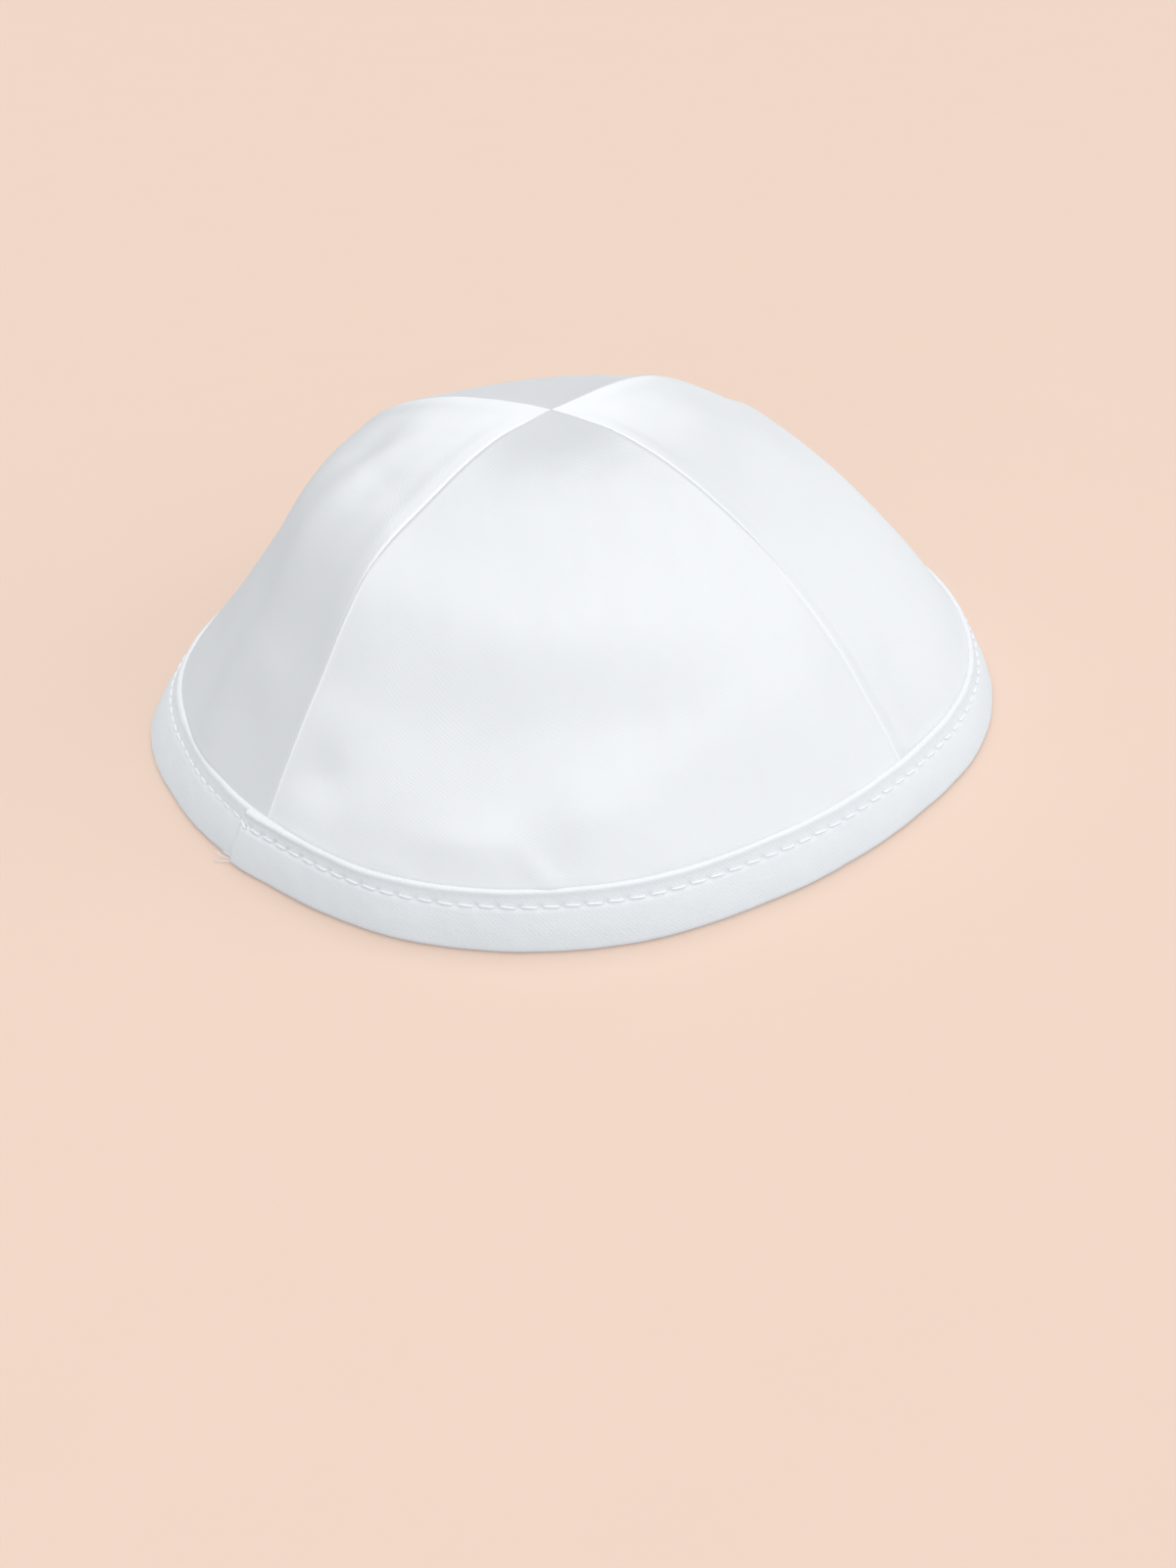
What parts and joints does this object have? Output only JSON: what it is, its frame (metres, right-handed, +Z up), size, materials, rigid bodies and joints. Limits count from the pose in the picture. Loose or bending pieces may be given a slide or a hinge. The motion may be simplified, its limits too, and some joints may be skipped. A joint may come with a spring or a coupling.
{
  "type": "satin kippah",
  "caption": "Soft satin skullcap: quarter panels sewn to a low rounded dome, with a stitched tape folded over its rim, standing on the rim.",
  "frame": {"origin": "centre of the bounding box of the cap's rim, on the surface it stands on", "axes": "+Z up through the crown; -Y towards the front panel, the one that faces the picture; +X towards the right panel"},
  "size_m": [0.161, 0.163, 0.057],
  "materials": {
    "satin": "white satin with a soft sheen",
    "tape": "white matt tape, machine stitched"
  },
  "bodies": {
    "root": {"panel_front": "satin", "panel_right": "satin", "panel_back": "satin", "panel_left": "satin", "rim_band": "tape"}
  },
  "joints": []
}
